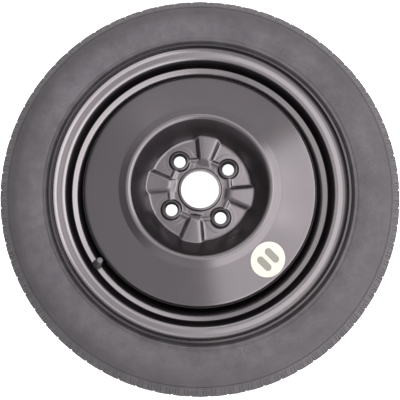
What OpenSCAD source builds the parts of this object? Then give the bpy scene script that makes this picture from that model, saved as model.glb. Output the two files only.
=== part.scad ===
// Space saver spare wheel: pressed steel wheel, temporary tyre, snap-in valve.
// Millimetres. The origin is the centre of the hub mounting face, and +Z points out of the car.

/* [Wheel] */
// Nominal bead seat diameter of the rim
rim_d = 380.2; // [370:0.2:390]
// Width of the rim between its flanges
rim_w = 101.6; // [96:0.2:112]
// Distance from the rim's mid-plane out to the mounting face
wheel_offset = 45; // [40:0.5:48]
// Height of the rim flange above the bead seat
flange_h = 22.6; // [21.6:0.2:24]
// Outer radius of the flange's curl
curl_r = 11.4; // [9:0.2:11.6]
// How far the flange's lip stands out beyond its wall
lip_reach = 12.4; // [12:0.1:13.5]
// Thickness of the rim's steel
rim_t = 2.8; // [2.2:0.1:3.2]
// Depth of the rim's well below the bead seat's nominal radius
well_depth = 20.3; // [18:0.1:24]
// Width of the well's floor
well_w = 24; // [20:1:28]
// Radius of the bend at the foot of the flange
heel_r = 10; // [7:0.1:10.4]
// Distance from the flange wall to the end of the bead seat
seat_w = 13.2; // [12:0.1:14]
// Height of the safety hump above the seat
hump_h = 0.7; // [0.4:0.1:1]
// Slope of the bead seat
seat_angle = 5; // [3:0.5:6]
// Width of the sloped ramp that holds the valve
ramp_w = 13; // [12:0.1:13.4]
// Slope of that ramp
ramp_angle = 24; // [22:0.5:28]

/* [Disc] */
// Thickness of the disc's steel
disc_t = 3.5; // [2.8:0.1:4]
// Radius of the centre bore
bore_r = 27.05; // [25:0.05:29]
// Height of the bore's collar above the pad
collar_h = 5.5; // [3:0.1:7]
// Wall of the bore's collar
collar_t = 3.6; // [2.5:0.1:4.5]
// Radius of the pad where the bowl's wall starts
pad_r = 72.8; // [70.6:0.2:75]
// Radius of the lip's highest circle
lip_r = 98; // [95:0.2:101]
// Height of the lip's corner above the mounting face
lip_z = 41.2; // [37:0.2:44]
// Radius of the lip's bend
lip_bend = 6; // [4.5:0.1:7]
// Radius of the crease outside the lip
crease_r = 112.5; // [110:0.2:116]
// Height of the crease above the mounting face
crease_z = 31.2; // [29:0.2:33]
// Height of the cone's outer corner above the mounting face
shoulder_z = 11.6; // [9:0.2:14]
// Radius of the shoulder's bend
shoulder_bend = 10; // [8:0.1:11]
// Distance from the rim's mid-plane down to the flange's end
flange_drop = 8; // [5:0.5:10]

/* [Bolts] */
// Diameter of the circle through the stud holes
bolt_pcd = 100; // [98:0.5:102]
// Number of stud holes
bolt_count = 4; // [4:1:4]
// Radius of a stud hole
bolt_r = 8.25; // [7.5:0.05:8.6]
// Radius of a nut seat's crest
seat_crest_r = 11.7; // [11:0.1:12.5]
// Radius of a nut seat's foot
seat_foot_r = 15.4; // [14:0.1:16]
// Height of a nut seat above the pad
seat_h = 4.4; // [3:0.1:5]
// Direction of the first stud hole
bolt_angle = 35.75; // [30:0.25:40]

/* [Ribs] */
// Height of a pressed rib above the pad
rib_h = 6; // [4:0.1:6.5]
// Radius of a rib's inner foot
rib_in = 36.8; // [36.6:0.1:38]
// Length of the slope at a rib's inner end
rib_ramp = 7.2; // [6:0.1:8]
// Width of a rib's foot at its inner end
rib_foot_in = 16.5; // [15:0.5:17]
// Width of a rib's foot at the bowl's wall
rib_foot_out = 40; // [36:0.5:42]
// Width of a rib's sloped flank
rib_flank = 5; // [4:0.1:5.5]
// Direction of the first rib
rib_angle = 80.75; // [79:0.25:82]

/* [Welds] */
// Number of weld beads
weld_count = 8; // [4:1:12]
// Angle that one weld bead covers
weld_angle = 17; // [10:1:25]
// Leg of a weld bead
weld_leg = 4.5; // [3:0.1:6]

/* [Tyre] */
// Height of the tyre's section above the rim's nominal radius
section_h = 100.4; // [96:0.2:105]
// Width of the tyre's section
tyre_w = 128; // [125:0.5:132]
// Radius of the tread's curve from side to side
crown_r = 320; // [250:10:500]
// Width of the tread
tread_w = 91; // [86:0.5:95]
// Radius of the tread's shoulder
shoulder_r = 8; // [5:0.5:10]
// Thickness of the tyre under the tread
tread_t = 9.5; // [8:0.1:12]
// Thickness of the tyre's sidewall
wall_t = 6; // [5:0.1:7]
// Width of a groove round the tread
groove_w = 6.5; // [5:0.1:8]
// Depth of the tread's grooves
groove_depth = 4; // [3:0.1:5]
// Distance between the grooves round the tread
groove_pitch = 20; // [17:0.5:22]
// Number of grooves across each shoulder
slot_count = 70; // [40:1:80]
// Width of a groove across the shoulder
slot_w = 2.6; // [2:0.1:4]
// Distance from the flange's edge out to the ridge on the sidewall
ridge_gap = 6.6; // [5.4:0.1:8]
// Width of the ridge next to the flange
ridge_w = 1.8; // [1.4:0.1:2.4]
// Gap between the tyre and the rim
bead_gap = 0.15; // [0.1:0.05:0.3]

/* [Valve] */
// Direction of the valve
valve_angle = 215.75; // [210:0.25:220]
// How far inside the bead seat's nominal radius the valve leaves the rim
valve_inset = 8.5; // [7.8:0.1:9]
// Tilt of the valve towards the wheel's axis
valve_tilt = 24; // [22:0.5:25]
// Radius of the valve hole
valve_hole_r = 5.75; // [5.6:0.05:5.9]
// Radius of the rubber just outside the rim
valve_bulge_r = 7; // [6.8:0.1:7.2]
// Length of rubber outside the rim
valve_rubber_l = 12.5; // [11:0.1:13]
// Radius of the rubber's outer end
valve_neck_r = 4.7; // [4.4:0.1:4.9]
// Length of the valve's head inside the tyre
valve_head_l = 7; // [6:0.1:8]
// Radius of the valve's head inside the tyre
valve_head_r = 8.6; // [8:0.1:9.2]
// Length of stem outside the rim
stem_l = 22; // [21:0.1:22.6]
// Outer radius of the stem's cap thread
stem_r = 3.85; // [3.7:0.05:3.9]
// Radius of the stem inside the rubber
stem_root_r = 3; // [2.95:0.05:3.2]
// Radius of the air passage below the core
passage_r = 1.9; // [1.85:0.05:2]
// Radius of the core's thread
core_r = 2.55; // [2.5:0.01:2.6]
// Length of the core's barrel
barrel_l = 7.5; // [7:0.1:8]
// Depth of the barrel below the stem's end
core_depth = 0.8; // [0.6:0.1:1.2]
// Radius of the core's pin
pin_r = 0.6; // [0.5:0.05:0.7]
// Radius of the spring's wire
wire_r = 0.18; // [0.15:0.01:0.2]
// Number of turns of the core's spring
spring_turns = 6; // [4:1:8]

/* [Cap] */
// Outer radius of the cap
cap_r = 4.7; // [4.6:0.05:4.8]
// Length of the cap
cap_l = 10.8; // [10:0.1:11.2]
// Thickness of the cap's closed end
cap_end_t = 1.5; // [1.2:0.1:1.8]
// Thickness of the cap's washer
cap_seal_t = 0.8; // [0.6:0.1:1]
// Number of flutes round the cap
flute_count = 16; // [12:1:18]
// Radius of a flute
flute_r = 0.35; // [0.2:0.05:0.4]

/* [Label] */
// Diameter of the round label
label_d = 50; // [40:1:52]
// Thickness of the label
label_t = 0.25; // [0.15:0.05:0.4]
// Direction of the label
label_angle = -46.9; // [-60:0.1:-40]
// Radius at which the label's centre lies
label_at = 137; // [132:0.5:141]

/* [Hidden] */
$fn = 96;
steel_black = "#26262a";
rubber_black = "#3a3a3c";
brass = "#b8964e";
// Gap between two pieces that touch
touch = 0.05;
// Gap between pieces that slide or turn on each other
running = 0.08;
// Depth by which one shape runs into another before they are joined or cut
bite = 1;
// Turn of one step along a rounded corner
arc_step = 8;

rim_r = rim_d / 2;
half_w = rim_w / 2;
flange_top = rim_r + flange_h;
ridge_r = flange_top + ridge_gap;
tyre_d = rim_d + 2 * section_h;
lip_end = half_w + lip_reach;
// Fall of the bead seat over a distance from the flange wall
function seat_fall(run) = run * tan(seat_angle);
seat_end_r = rim_r - seat_fall(seat_w);
seat_end_z = half_w - seat_w;
hump_z = seat_end_z - 3;
hump_r = seat_end_r + hump_h;
ramp_z = hump_z - ramp_w * tan(ramp_angle);
ramp_r = hump_r - ramp_w;
well_r = rim_r - well_depth;
well_in = well_r - rim_t;
pad_z = disc_t;
disc_out = well_in - touch;
rib_top = pad_z + rib_h;
bolt_at = bolt_pcd / 2;

// Outlines with round corners. A point is [x, y, corner radius], and x is the radius in a revolve.
function xy(p) = [p[0], p[1]];
function unit(v) = v / norm(v);
function left(v) = [-v[1], v[0]];
function turn(a, b) = atan2(a[0] * b[1] - a[1] * b[0], a * b);
function mirrored(path) = [for (i = [len(path) - 1:-1:0]) [path[i][0], -path[i][1], path[i][2]]];
function reversed(path) = [for (i = [len(path) - 1:-1:0]) path[i]];

// The points of one rounded corner at p, between its neighbours a and b
function corner(a, p, b) =
    let(u = unit(xy(p) - xy(a)), v = unit(xy(b) - xy(p)), angle = turn(u, v), r = p[2])
    (r <= 0 || abs(angle) < 0.5) ? [xy(p)]
    : let(
        reach = r * tan(abs(angle) / 2),
        side = angle > 0 ? 1 : -1,
        centre = xy(p) - reach * u + side * r * left(u),
        first = atan2(-side * left(u)[1], -side * left(u)[0]),
        n = max(2, ceil(abs(angle) / arc_step)))
    [for (i = [0:n]) centre + r * [cos(first + angle * i / n), sin(first + angle * i / n)]];

// The points of an open path with its corners rounded
function rounded(path) = let(last = len(path) - 1) [
    for (i = [0:last])
        for (q = (i == 0 || i == last) ? [xy(path[i])] : corner(path[i - 1], path[i], path[i + 1]))
            q];

// The points of a closed outline with its corners rounded
function rounded_ring(path) = let(n = len(path)) [
    for (i = [0:n - 1])
        for (q = corner(path[(i + n - 1) % n], path[i], path[(i + 1) % n])) q];

// The same path moved sideways by d, with its corner radii kept concentric
function beside(path, d) = let(last = len(path) - 1) [
    for (i = [0:last])
        let(
            u = unit(xy(path[max(i, 1)]) - xy(path[max(i, 1) - 1])),
            v = unit(xy(path[min(i, last - 1) + 1]) - xy(path[min(i, last - 1)])),
            n = unit(left(u) + left(v)),
            p = xy(path[i]) + n * d / (n * left(u)))
        [p[0], p[1], max(0.3, path[i][2] - d * sign(turn(u, v)))]];

// Outline of a sheet of thickness t on the right-hand side of a path
function sheet(path, t) = concat(rounded(path), reversed(rounded(beside(path, -t))));

// Tyre side of the rim, from the outer lip to the middle of the well
rim_half = [
    [flange_top, lip_end, 0],
    [flange_top, half_w, curl_r],
    [rim_r, half_w, heel_r],
    [seat_end_r, seat_end_z, 4],
    [hump_r, hump_z, 2.4],
    [ramp_r, ramp_z, 5],
    [well_r, well_w / 2, 7]];
rim_path = concat(rim_half, mirrored(rim_half));

// Front of the disc, from inside the bore to the end of its flange
disc_path = [
    [bore_r - bite, pad_z, 0],
    [pad_r, pad_z, 5],
    [lip_r, lip_z, lip_bend],
    [crease_r, crease_z, 6],
    [disc_out, shoulder_z, shoulder_bend],
    [disc_out, -wheel_offset - flange_drop, 0]];
cone_slope = atan((crease_z - shoulder_z) / (disc_out - crease_r));

module at_mid_plane() {
    translate([0, 0, -wheel_offset]) children();
}

// Tyre: half of the outline, from the tread's middle past the sidewall to the bead and back inside
function crown(z) = tyre_d / 2 - z * z / (2 * crown_r);
// Radius at a share of the section's height below the tread's middle
function down(share) = tyre_d / 2 - share * section_h;
half_tyre = tyre_w / 2;
half_tread = tread_w / 2;
bead_out = half_w - bead_gap;
tyre_half = concat(
    [for (z = [0:half_tread / 8:half_tread - 1]) [crown(z), z, 0]],
    [
        [crown(half_tread), half_tread, shoulder_r],
        [down(0.174), half_tyre - 6.5, 12],
        [down(0.299), half_tyre - 1.2, 30],
        [down(0.518), half_tyre, 40],
        [ridge_r + 5, half_tyre - 2.6, 2],
        [ridge_r + 3.4, half_tyre - 3.6, 0.8],
        [ridge_r + ridge_w / 2 + 0.5, half_tyre - 3.7, 0.3],
        [ridge_r + ridge_w / 2, half_tyre - 2.4, 0.4],
        [ridge_r - ridge_w / 2, half_tyre - 2.4, 0.4],
        [flange_top + 2.6, half_w + 5.4, 1.2],
        [flange_top - 0.39 * curl_r, bead_out, curl_r + 1],
        [rim_r + bead_gap, bead_out, heel_r],
        [seat_end_r + seat_fall(0.8) + bead_gap, seat_end_z + 0.8, 1.5],
        [rim_r + 4, seat_end_z - 0.5, 2],
        [rim_r + 13, half_w - 10.5, 10],
        [ridge_r + 2, half_tyre - wall_t - 2.5, 14],
        [down(0.478), half_tyre - wall_t, 35],
        [down(0.2), half_tyre - wall_t - 8, 14],
        [crown(half_tread) - tread_t, half_tread - 14, 14],
        [tyre_d / 2 - tread_t, 0, 0]]);

// Cut across one shoulder: everything outside a line that lies below the tread's surface
module shoulder_slot() {
    inner = groove_pitch + groove_w / 2 + 6;
    rotate([90, 0, 0])
        linear_extrude(height = slot_w, center = true)
            polygon([
                [crown(inner) - groove_depth * 0.8, inner],
                [crown(half_tread) - groove_depth, half_tread - shoulder_r / 2],
                [tyre_d / 2 - 15, half_tyre - 11],
                [tyre_d / 2 - 15, half_tyre + bite],
                [tyre_d / 2 + bite, half_tyre + bite],
                [tyre_d / 2 + bite, inner]]);
}

module tread_groove(z) {
    floor_r = crown(z) - groove_depth;
    rotate_extrude($fn = 180)
        translate([floor_r, z - groove_w / 2])
            square([groove_depth + 2 * bite, groove_w]);
}

module tyre() color(rubber_black) at_mid_plane() difference() {
    rotate_extrude($fn = 180)
        polygon(rounded_ring(concat(tyre_half, mirrored([for (i = [1:len(tyre_half) - 2]) tyre_half[i]]))));
    for (z = [-groove_pitch, 0, groove_pitch])
        tread_groove(z);
    for (i = [0:slot_count - 1], side = [0, 1])
        rotate([0, 0, (i + side / 2) * 360 / slot_count])
            mirror([0, 0, side])
                shoulder_slot();
}

// Places its children on the valve's axis, with z = 0 where the axis leaves the rim's inner side
valve_at = rim_r - valve_inset;
ramp_in = beside(rim_half, -rim_t);
ramp_share = (valve_at - ramp_in[5][0]) / (ramp_in[4][0] - ramp_in[5][0]);
valve_z = ramp_in[5][1] + ramp_share * (ramp_in[4][1] - ramp_in[5][1]);

module at_valve() {
    at_mid_plane()
        rotate([0, 0, valve_angle])
            translate([valve_at, 0, valve_z])
                rotate([0, -valve_tilt, 0])
                    children();
}

module rim() color(steel_black) difference() {
    at_mid_plane() rotate_extrude($fn = 180) polygon(sheet(rim_path, rim_t));
    at_valve() translate([0, 0, -rim_t * 3]) cylinder(r = valve_hole_r, h = rim_t * 3 + 2.5);
}

// Disc
module collar() {
    top = pad_z + collar_h;
    rotate_extrude($fn = 120)
        polygon(rounded([
            [bore_r - bite, 0, 0],
            [bore_r + collar_t + 6, 0, 0],
            [bore_r + collar_t + 6, pad_z, 0],
            [bore_r + collar_t, pad_z, 2.5],
            [bore_r + collar_t, top, 1.6],
            [bore_r - bite, top, 0]]));
}

module nut_seat() {
    rotate_extrude()
        polygon(rounded([
            [0, pad_z - bite, 0],
            [seat_foot_r + 2, pad_z - bite, 0],
            [seat_foot_r, pad_z + 0.4, 3],
            [seat_crest_r + 0.9, pad_z + seat_h, 1.2],
            [0, pad_z + seat_h, 0]]));
}

// The 60 degree cone that the nut centres on
module nut_cone() {
    depth = (seat_crest_r - bolt_r) / tan(30);
    translate([0, 0, pad_z + seat_h - depth])
        cylinder(r1 = bolt_r, r2 = seat_crest_r + bite * tan(30), h = depth + bite);
}

// A rib as a block along +X with sloped flanks and a sloped inner end, carried on below z0
module rib_block(x0, x1, foot_in, foot_out, z0, z1) {
    below = bite / (z1 - z0);
    grow = (foot_out - foot_in) / 2 / (x1 - x0);
    start = x0 - rib_ramp * below;
    wide_in = foot_in / 2 + below * (rib_flank - grow * rib_ramp);
    wide_out = foot_out / 2 + below * rib_flank;
    top_in = foot_in / 2 - rib_flank + grow * rib_ramp;
    top_out = foot_out / 2 - rib_flank;
    polyhedron(
        points = [
            [start, -wide_in, z0 - bite], [x1, -wide_out, z0 - bite],
            [x1, wide_out, z0 - bite], [start, wide_in, z0 - bite],
            [x0 + rib_ramp, -top_in, z1], [x1, -top_out, z1],
            [x1, top_out, z1], [x0 + rib_ramp, top_in, z1]],
        faces = [[0, 1, 2, 3], [7, 6, 5, 4], [0, 4, 5, 1], [1, 5, 6, 2], [2, 6, 7, 3], [3, 7, 4, 0]]);
}

// Everything inside the middle of the bowl's wall
wall_lean = (lip_r - pad_r) / (lip_z - pad_z);
function wall_middle(z) = pad_r + (z - pad_z) * wall_lean + disc_t / 2 * norm([1, wall_lean]);
module inside_bowl() {
    rotate_extrude($fn = 180)
        polygon([
            [0, pad_z - 2 * bite],
            [wall_middle(pad_z - 2 * bite), pad_z - 2 * bite],
            [wall_middle(rib_top + bite), rib_top + bite],
            [0, rib_top + bite]]);
}

module rib_front() {
    rib_block(rib_in, rib_out, rib_foot_in, rib_foot_out, pad_z, rib_top);
}

// Inset at the back that leaves the sheet as thick on a slope of this run as elsewhere
function inset(run) = disc_t * (norm([rib_h, run]) - run) / rib_h;
rib_out = wall_middle(rib_top) + 4 * bite;

module rib_pocket() {
    rib_block(rib_in + inset(rib_ramp), rib_out + disc_t, rib_foot_in - 2 * inset(rib_flank),
        rib_foot_out - 2 * inset(rib_flank), 0, rib_top - disc_t);
}

module wheel_disc() color(steel_black) difference() {
    union() {
        rotate_extrude($fn = 180) polygon(sheet(disc_path, disc_t));
        collar();
        for (i = [0:bolt_count - 1])
            rotate([0, 0, bolt_angle + i * 360 / bolt_count])
                translate([bolt_at, 0, 0])
                    nut_seat();
        intersection() {
            inside_bowl();
            for (i = [0:bolt_count - 1])
                rotate([0, 0, rib_angle + i * 360 / bolt_count])
                    rib_front();
        }
    }
    translate([0, 0, -bite]) cylinder(r = bore_r, h = pad_z + collar_h + 2 * bite);
    for (i = [0:bolt_count - 1])
        rotate([0, 0, bolt_angle + i * 360 / bolt_count])
            translate([bolt_at, 0, 0]) {
                translate([0, 0, -bite]) cylinder(r = bolt_r, h = pad_z + seat_h + 2 * bite);
                nut_cone();
            }
    for (i = [0:bolt_count - 1])
        rotate([0, 0, rib_angle + i * 360 / bolt_count])
            rib_pocket();
}

// Fillet weld beads between the end of the disc's flange and the rim's well
module disc_welds() color("#1f1f22") at_mid_plane() {
    outer = well_in - touch;
    top = -flange_drop - touch;
    for (i = [0:weld_count - 1])
        rotate([0, 0, i * 360 / weld_count])
            rotate_extrude(angle = weld_angle, $fn = 180)
                polygon(rounded_ring([
                    [outer, top, 0],
                    [outer - weld_leg * 0.75, top, 0.4],
                    [outer - weld_leg * 0.7, top - weld_leg * 0.6, 2],
                    [outer, top - weld_leg, 0.3]]));
}

// Valve: rubber body that grips the rim's sheet
module valve_body() color("#1b1b1c") difference() {
    union() {
        difference() {
            at_valve() rotate_extrude()
                polygon(rounded([
                    [0, -rim_t - valve_head_l, 0],
                    [valve_head_r - 2, -rim_t - valve_head_l, 2],
                    [valve_head_r, -rim_t - 2.5, 1],
                    [valve_head_r, -rim_t / 2, 0],
                    [valve_bulge_r, -rim_t / 2, 0],
                    [valve_bulge_r, 3.2, 3],
                    [valve_neck_r + 0.3, valve_rubber_l - 3, 4],
                    [valve_neck_r, valve_rubber_l, 0.8],
                    [0, valve_rubber_l, 0]]));
            valve_grip();
        }
        at_valve() translate([0, 0, -rim_t - 2]) cylinder(r = valve_hole_r - touch, h = rim_t + 3.5);
    }
    at_valve() translate([0, 0, -rim_t - valve_head_l - bite])
        cylinder(r = stem_root_r + touch, h = rim_t + valve_head_l + valve_rubber_l + 2 * bite);
}

// The stretch of the rim that the rubber is pressed against, a little thicker than the steel
module valve_grip() {
    stretch = [for (i = [2:6]) rim_half[i]];
    at_mid_plane() rotate_extrude($fn = 180)
        polygon(sheet(beside(stretch, touch), rim_t + 2 * touch));
}

// Brass stem with its cap thread, air passage and core chamber
stem_end = stem_l;
chamber_z = stem_end - core_depth - barrel_l - 3;
module valve_stem() color(brass) at_valve() rotate_extrude()
    polygon(rounded([
        [passage_r, -rim_t - valve_head_l + 1, 0],
        [stem_root_r, -rim_t - valve_head_l + 1, 0],
        [stem_root_r, valve_rubber_l + touch, 0],
        [stem_r, valve_rubber_l + touch + 0.6, 0],
        [stem_r, stem_end - 0.6, 0],
        [stem_r - 0.6, stem_end, 0],
        [core_r + touch, stem_end, 0],
        [core_r + touch, chamber_z + 1.5, 0],
        [passage_r, chamber_z, 0]]));

// Core: threaded barrel, gasket, pin, cup, seal and spring
barrel_top = stem_end - core_depth;
barrel_end = barrel_top - barrel_l;
gasket_z = barrel_top - 4.2;
gasket_h = 1.6;
neck_r = 1.75;
guide_r = pin_r + running;
floor_t = 1.2;
bridge_t = 1.3;
chamber_r = 1.3;
bridge_z = barrel_top - bridge_t;
module core_barrel() color(brass) at_valve() difference() {
    rotate_extrude()
        polygon([
            [guide_r, barrel_end + floor_t / 2],
            [guide_r + 0.25, barrel_end],
            [neck_r, barrel_end],
            [neck_r, gasket_z],
            [core_r, gasket_z],
            [core_r, barrel_top],
            [guide_r, barrel_top],
            [guide_r, bridge_z],
            [chamber_r, bridge_z],
            [chamber_r, barrel_end + floor_t],
            [guide_r, barrel_end + floor_t]]);
    for (side = [-1, 1])
        translate([side * 1.95, 0, bridge_z - 0.2]) cylinder(r = 0.75, h = bridge_t + bite);
}

module core_gasket() color("#8c2f26") at_valve() difference() {
    translate([0, 0, gasket_z - touch - gasket_h]) cylinder(r = core_r, h = gasket_h);
    translate([0, 0, gasket_z - gasket_h - bite]) cylinder(r = neck_r + touch, h = gasket_h + 2 * bite);
}

seal_t = 0.9;
seal_r = 1.65;
cup_t = 0.5;
seal_top = barrel_end - touch;
cup_top = seal_top - seal_t - touch;
pin_top = barrel_top + 0.3;
pin_end = cup_top - cup_t - 0.5;
collar_top = bridge_z - touch;
pin_collar_t = 0.5;
pin_collar_r = 1.2;
module core_pin() color(brass) at_valve() {
    translate([0, 0, pin_end]) cylinder(r = pin_r, h = pin_top - pin_end);
    translate([0, 0, collar_top - pin_collar_t]) cylinder(r = pin_collar_r, h = pin_collar_t);
}

module core_cup() color(brass) at_valve() difference() {
    translate([0, 0, cup_top - cup_t]) cylinder(r = seal_r + 0.1, h = cup_t);
    translate([0, 0, cup_top - cup_t - bite]) cylinder(r = pin_r + touch, h = cup_t + 2 * bite);
}

module core_seal() color("#141414") at_valve() difference() {
    translate([0, 0, seal_top - seal_t]) cylinder(r = seal_r, h = seal_t);
    translate([0, 0, seal_top - seal_t - bite]) cylinder(r = pin_r + touch, h = seal_t + 2 * bite);
}

// Coil spring between the barrel's floor and the pin's collar: eight sides swept along a helix
spring_r = 0.98;
spring_z0 = barrel_end + floor_t + wire_r + touch;
spring_z1 = collar_top - pin_collar_t - wire_r - touch;
module core_spring() color("silver") at_valve() {
    sides = 8;
    steps = 10 * spring_turns;
    points = [
        for (i = [0:steps], k = [0:sides - 1])
            let(
                turned = 360 * spring_turns * i / steps,
                round_wire = 360 * k / sides,
                reach = spring_r + wire_r * cos(round_wire),
                z = spring_z0 + (spring_z1 - spring_z0) * i / steps + wire_r * sin(round_wire))
            [reach * cos(turned), reach * sin(turned), z]];
    walls = [
        for (i = [0:steps - 1], k = [0:sides - 1])
            let(a = i * sides + k, b = i * sides + (k + 1) % sides)
            [a, a + sides, b + sides, b]];
    ends = [[for (k = [0:sides - 1]) k], [for (k = [sides - 1:-1:0]) steps * sides + k]];
    polyhedron(points = points, faces = concat(walls, ends));
}

// Cap: threaded cup with flutes and a rounded closed end
cap_seat = stem_end + touch;
cap_top = cap_seat + cap_seal_t + touch + cap_end_t;
module valve_cap() color("#202022") at_valve() difference() {
    rotate_extrude()
        polygon(rounded([
            [0, cap_top - cap_l, 0],
            [cap_r, cap_top - cap_l, 0.5],
            [cap_r, cap_top - 1.6, 1],
            [cap_r - 1.4, cap_top, 1],
            [0, cap_top, 0]]));
    translate([0, 0, cap_top - cap_l - bite]) cylinder(r = stem_r + running, h = cap_l - cap_end_t + bite);
    for (i = [0:flute_count - 1])
        rotate([0, 0, i * 360 / flute_count])
            translate([cap_r + flute_r * 0.3, 0, cap_top - cap_l + 1.2])
                cylinder(r = flute_r, h = cap_l - 3.4, $fn = 24);
}

module cap_seal() color("#141414") at_valve() {
    translate([0, 0, cap_seat]) cylinder(r = stem_r - running, h = cap_seal_t);
}

// Label: a thin round piece of the cone's own surface
module sticker() color("#f2f1e6") intersection() {
    rotate_extrude($fn = 180)
        polygon(sheet([
            [crease_r, crease_z + lift(touch + label_t), 0],
            [disc_out, shoulder_z + lift(touch + label_t), 0]], label_t));
    rotate([0, 0, label_angle])
        translate([label_at, 0, crease_z - (label_at - crease_r) * tan(cone_slope)])
            rotate([0, cone_slope, 0])
                translate([0, 0, -5])
                    cylinder(d = label_d, h = 10);
}

// Vertical distance to a surface that lies a given distance off the cone
function lift(d) = d / cos(cone_slope);

tyre();
rim();
wheel_disc();
disc_welds();
valve_body();
valve_stem();
core_barrel();
core_gasket();
core_pin();
core_cup();
core_seal();
core_spring();
valve_cap();
cap_seal();
sticker();
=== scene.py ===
import math

import bpy
import bmesh
import numpy as np
from mathutils import Matrix, Vector, geometry


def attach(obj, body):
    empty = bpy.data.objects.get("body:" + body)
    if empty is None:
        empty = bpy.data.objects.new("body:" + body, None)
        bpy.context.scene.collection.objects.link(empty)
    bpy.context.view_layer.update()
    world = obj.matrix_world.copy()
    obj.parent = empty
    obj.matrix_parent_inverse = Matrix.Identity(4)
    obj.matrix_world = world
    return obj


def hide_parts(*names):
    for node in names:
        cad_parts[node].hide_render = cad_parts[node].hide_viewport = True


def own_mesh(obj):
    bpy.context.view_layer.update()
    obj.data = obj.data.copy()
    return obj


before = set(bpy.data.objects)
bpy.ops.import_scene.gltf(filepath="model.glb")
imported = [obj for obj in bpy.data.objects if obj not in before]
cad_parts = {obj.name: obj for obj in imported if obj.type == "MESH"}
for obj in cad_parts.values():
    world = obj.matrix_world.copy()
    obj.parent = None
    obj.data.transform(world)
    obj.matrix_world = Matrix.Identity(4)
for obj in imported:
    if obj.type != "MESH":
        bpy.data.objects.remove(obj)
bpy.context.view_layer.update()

MM = 0.001

# Sizes of the solids, in millimetres and degrees. The mounting face lies at z = 0, and the middle
# of the tyre and the rim WHEEL_OFFSET behind it.
WHEEL_OFFSET = 45.0
RIM_D, RIM_W, RIM_T = 380.2, 101.6, 2.8
FLANGE_H, CURL_R, LIP_REACH = 22.6, 11.4, 12.4
WELL_DEPTH, WELL_W, HEEL_R = 20.3, 24.0, 10.0
SEAT_W, HUMP_H, SEAT_ANGLE = 13.2, 0.7, 5.0
RAMP_W = 13.0
DISC_T, BORE_R = 3.5, 27.05
COLLAR_H, COLLAR_T = 5.5, 3.6
PAD_R, LIP_R, LIP_Z, LIP_BEND = 72.8, 98.0, 41.2, 6.0
CREASE_R, CREASE_Z, SHOULDER_Z, SHOULDER_BEND, FLANGE_DROP = 112.5, 31.2, 11.6, 10.0, 8.0
BOLT_AT, BOLT_R, BOLT_COUNT, BOLT_ANGLE = 50.0, 8.25, 4, 35.75
SEAT_CREST_R, SEAT_FOOT_R, SEAT_H, NUT_CONE = 11.7, 15.4, 4.4, 60.0
RIB_H, RIB_IN, RIB_OUT, RIB_RAMP = 6.0, 36.8, 82.9156, 7.2
RIB_FOOT_IN, RIB_FOOT_OUT, RIB_FLANK, RIB_ANGLE = 16.5, 40.0, 5.0, 80.75
SECTION_H, TYRE_W, CROWN_R, TREAD_W, SHOULDER_R = 100.4, 128.0, 320.0, 91.0, 8.0
TREAD_T, WALL_T, GROOVE_W, GROOVE_DEPTH, GROOVE_PITCH = 9.5, 6.0, 6.5, 4.0, 20.0
SLOT_COUNT, SLOT_W = 70, 2.6
RIDGE_GAP, RIDGE_W, BEAD_GAP = 6.6, 1.8, 0.15
VALVE_ANGLE, VALVE_AT, VALVE_TILT, VALVE_Z = 215.75, 181.6, 24.0, 34.0831
SPRING_R, WIRE_R, SPRING_TURNS, CORE_TRAVEL = 0.98, 0.18, 6, 1.2
LABEL_ANGLE, LABEL_AT = -46.9, 137.0
TOUCH = 0.05

# Sizes that differ from the solids', because of what the paint reflects. The solid's ramp slopes 24
# degrees with a bend of 5, its flange has no dish, which tips it a little here, and its crease
# round the lip has a bend of 6.
RAMP_ANGLE, RAMP_BEND = 18.0, 8.0
FLANGE_DISH = 1.0
CREASE_BEND = 1.5

RIM_R = RIM_D / 2
HALF_W = RIM_W / 2
FLANGE_TOP = RIM_R + FLANGE_H
LIP_END = HALF_W + LIP_REACH
SEAT_SLOPE = math.tan(math.radians(SEAT_ANGLE))
SEAT_END_R = RIM_R - SEAT_W * SEAT_SLOPE
SEAT_END_Z = HALF_W - SEAT_W
HUMP_Z = SEAT_END_Z - 3
HUMP_R = SEAT_END_R + HUMP_H
RAMP_Z = HUMP_Z - RAMP_W * math.tan(math.radians(RAMP_ANGLE))
RAMP_R = HUMP_R - RAMP_W
WELL_R = RIM_R - WELL_DEPTH
DISC_OUT = WELL_R - RIM_T - TOUCH
TYRE_R = RIM_R + SECTION_H
HALF_TYRE = TYRE_W / 2
HALF_TREAD = TREAD_W / 2
RIDGE_R = FLANGE_TOP + RIDGE_GAP


# Outlines with round corners. A point is (x, y, corner radius), and x is the radius in a revolve.
def unit(v):
    return v / np.linalg.norm(v)


def left(v):
    return np.array([-v[1], v[0]])


def turn(a, b):
    """The angle from one direction to another, in degrees."""
    return math.degrees(math.atan2(a[0] * b[1] - a[1] * b[0], float(np.dot(a, b))))


def direction(degrees):
    """The unit vector at an angle from +X."""
    return np.array([math.cos(math.radians(degrees)), math.sin(math.radians(degrees))])


def xy(p):
    return np.array([p[0], p[1]], float)


def corner(a, p, b, step):
    """Points of the round corner at p between a and b, at most step degrees apart."""
    u, v, r = unit(xy(p) - xy(a)), unit(xy(b) - xy(p)), p[2]
    angle = turn(u, v)
    if r <= 0 or abs(angle) < 0.5:
        return [xy(p)]
    reach = r * math.tan(math.radians(abs(angle) / 2))
    side = 1 if angle > 0 else -1
    centre = xy(p) - reach * u + side * r * left(u)
    first = math.atan2(-side * left(u)[1], -side * left(u)[0])
    n = max(2, math.ceil(abs(angle) / step))
    turned_by = [first + math.radians(angle) * i / n for i in range(n + 1)]
    return [centre + r * np.array([math.cos(t), math.sin(t)]) for t in turned_by]


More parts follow.
